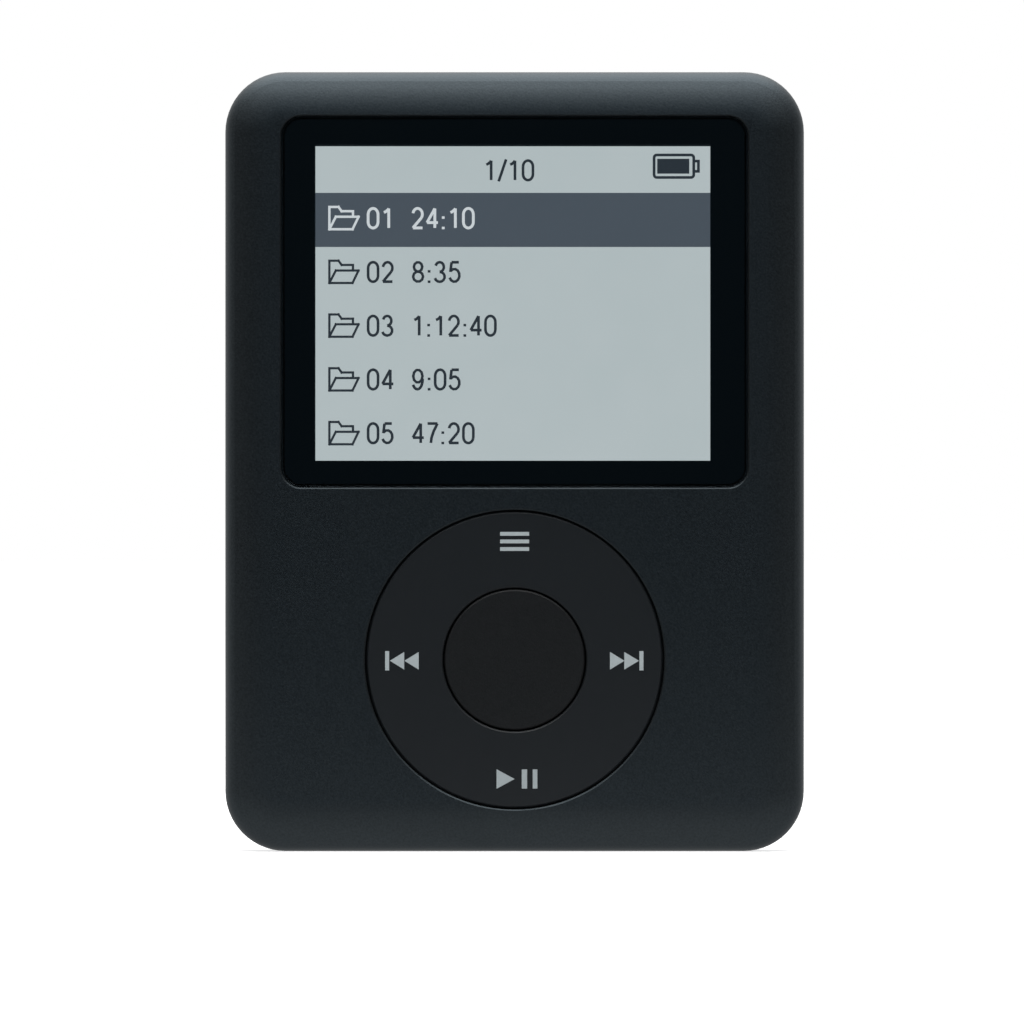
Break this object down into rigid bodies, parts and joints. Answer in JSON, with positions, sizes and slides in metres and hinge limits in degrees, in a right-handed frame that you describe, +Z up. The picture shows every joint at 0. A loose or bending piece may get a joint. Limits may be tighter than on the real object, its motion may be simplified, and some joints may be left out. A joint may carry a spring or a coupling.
{
  "type": "audio story player",
  "caption": "Pocket audio story player: flat rounded metal housing with a lit list display behind a clear window, a rocking control wheel and a press button in its middle.",
  "frame": {"origin": "middle of the base on which the player stands upright", "axes": "+Z up along the height, -Y out of the display face, +X to the right seen from the front"},
  "size_m": [0.052, 0.008, 0.07],
  "materials": {
    "housing_aluminium": "fine blasted and anodised dark charcoal",
    "cover_steel": "fine polished stainless steel",
    "window_acrylic": "clear hard-coated acrylic",
    "mask_print": "black print behind the window",
    "gasket_foam": "matt black foam",
    "display_glass": "liquid crystal glass with its polariser",
    "backlight_plastic": "white moulded light guide tray",
    "flex_polyimide": "amber flexible circuit",
    "frame_plastic": "glass filled black plastic",
    "fastener_steel": "zinc plated steel",
    "board_laminate": "green glass epoxy laminate",
    "chip_epoxy": "black moulded epoxy",
    "plated_can": "nickel plated can",
    "ceramic": "fired ceramic",
    "connector_plastic": "cream heat-proof plastic",
    "cell_foil": "laminated foil pouch",
    "adhesive": "double-sided adhesive film",
    "wire_cover": "soft insulated wire",
    "spring_steel": "thin stamped spring steel",
    "wheel_plastic": "smooth satin charcoal plastic",
    "button_plastic": "finely textured charcoal plastic",
    "knob_plastic": "satin black plastic",
    "socket_steel": "nickel plated steel",
    "contact_gold": "gold flashed contacts"
  },
  "bodies": {
    "player_body": {"front_housing": "housing_aluminium", "rear_cover": "cover_steel", "display_window": "window_acrylic", "window_mask": "mask_print", "display_gasket": "gasket_foam", "lcd_glass": "display_glass", "backlight_unit": "backlight_plastic", "display_flex": "flex_polyimide", "middle_frame": "frame_plastic", "frame_screws": "fastener_steel", "main_board": "board_laminate", "board_screws": "fastener_steel", "processor_chip": "chip_epoxy", "memory_chip": "chip_epoxy", "audio_chip": "chip_epoxy", "timing_crystal": "plated_can", "board_capacitors": "ceramic", "display_connector": "connector_plastic", "wheel_connector": "connector_plastic", "battery_connector": "connector_plastic", "battery_cell": "cell_foil", "battery_tape": "adhesive", "battery_pad": "gasket_foam", "battery_leads": "wire_cover", "wheel_board": "board_laminate", "wheel_domes": "spring_steel", "centre_dome": "spring_steel", "hold_switch_body": "plated_can", "charge_socket_shell": "socket_steel", "charge_socket_tongue": "frame_plastic", "charge_socket_contacts": "contact_gold", "headphone_jack_body": "frame_plastic", "jack_contacts": "contact_gold"},
    "gimbal": {"wheel_gimbal": "spring_steel"},
    "wheel": {"control_wheel": "wheel_plastic"},
    "button": {"centre_button": "button_plastic"},
    "hold_slider": {"hold_knob": "knob_plastic"}
  },
  "joints": [
    {"name": "wheel_rock_up_down", "type": "hinge", "parent": "player_body", "child": "gimbal", "pos_m": [0, -0.00145, 0.01723], "axis": [1, 0, 0], "range_deg": [-1, 1], "stiffness_Nm_per_rad": 0.05},
    {"name": "wheel_rock_left_right", "type": "hinge", "parent": "gimbal", "child": "wheel", "pos_m": [0, -0.00145, 0.01723], "axis": [0, 0, 1], "range_deg": [-1, 1], "stiffness_Nm_per_rad": 0.05},
    {"name": "button_press", "type": "slide", "parent": "player_body", "child": "button", "axis": [0, 1, 0], "range_m": [0, 0.00025], "stiffness_N_per_m": 300},
    {"name": "hold_slide", "type": "slide", "parent": "player_body", "child": "hold_slider", "axis": [1, 0, 0], "range_m": [0, 0.002]}
  ]
}
